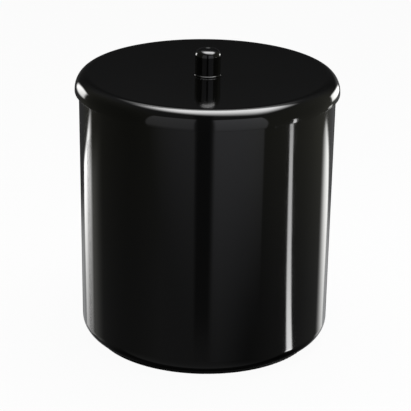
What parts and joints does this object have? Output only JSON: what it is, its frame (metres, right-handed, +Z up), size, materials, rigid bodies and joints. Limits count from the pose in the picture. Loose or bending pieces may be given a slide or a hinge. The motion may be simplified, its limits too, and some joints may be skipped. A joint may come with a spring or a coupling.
{
  "type": "ice bucket",
  "caption": "Round insulated ice bucket in gloss black, with a drafted double wall, a rounded base and an overhanging round-edged lid that lifts off by a small cylindrical knob.",
  "frame": {"origin": "centre of the circle of rubber feet, on the surface that the bucket stands on", "axes": "+Z up along the axis that the bucket is turned about; X and Y across it, with the feet at 45 degrees between them"},
  "size_m": [0.25, 0.25, 0.2862],
  "materials": {
    "black_gloss": "gloss",
    "base_plastic": "satin",
    "liner_plastic": "satin",
    "foam": "matte",
    "gasket": "satin",
    "rubber": "matte",
    "steel": "satin",
    "brass": "satin"
  },
  "bodies": {
    "bucket": {"outer_shell": "black_gloss", "inner_liner": "liner_plastic", "insulation_sleeve": "foam", "insulation_base": "foam", "base_plate": "base_plastic", "base_screws": "steel", "rubber_foot_1": "rubber", "rubber_foot_2": "rubber", "rubber_foot_3": "rubber", "rubber_foot_4": "rubber"},
    "lid": {"lid_cover": "black_gloss", "lid_liner": "liner_plastic", "lid_gasket": "gasket", "lid_insulation": "foam", "knob": "black_gloss", "knob_collar": "black_gloss", "knob_insert": "brass", "knob_washer": "steel", "knob_screw": "steel"}
  },
  "joints": [
    {"name": "lid_lift", "type": "slide", "parent": "bucket", "child": "lid", "axis": [0, 0, 1], "range_m": [0, 0.15]}
  ]
}
